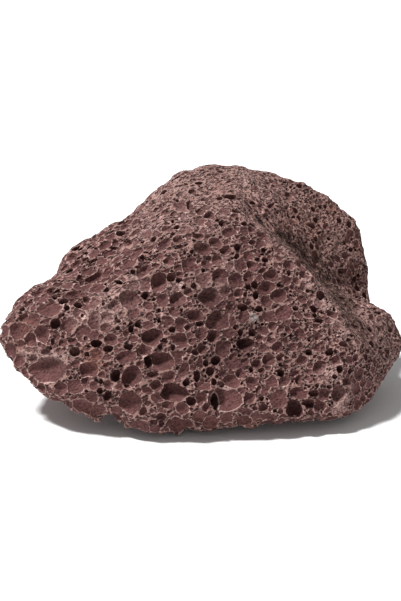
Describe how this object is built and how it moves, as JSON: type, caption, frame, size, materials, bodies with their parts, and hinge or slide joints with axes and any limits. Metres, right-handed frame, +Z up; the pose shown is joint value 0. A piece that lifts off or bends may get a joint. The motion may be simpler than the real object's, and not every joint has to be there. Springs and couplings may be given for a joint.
{
  "type": "lava rock",
  "caption": "Hand-size lump of red scoria with an overhanging nose, a ridge and a gully, lying on a small worn flat; decorative or filter stone.",
  "frame": {"origin": "on the ground, under the middle of the lump's box", "axes": "+X along the longest side, from the overhanging nose to the tail; -Y the broad front face; +Z up"},
  "size_m": [0.15, 0.0935, 0.0825],
  "materials": {
    "scoria": "dull, rough and full of bubbles, red brown with paler broken rims"
  },
  "bodies": {
    "root": {"lava_rock": "scoria"}
  },
  "joints": []
}
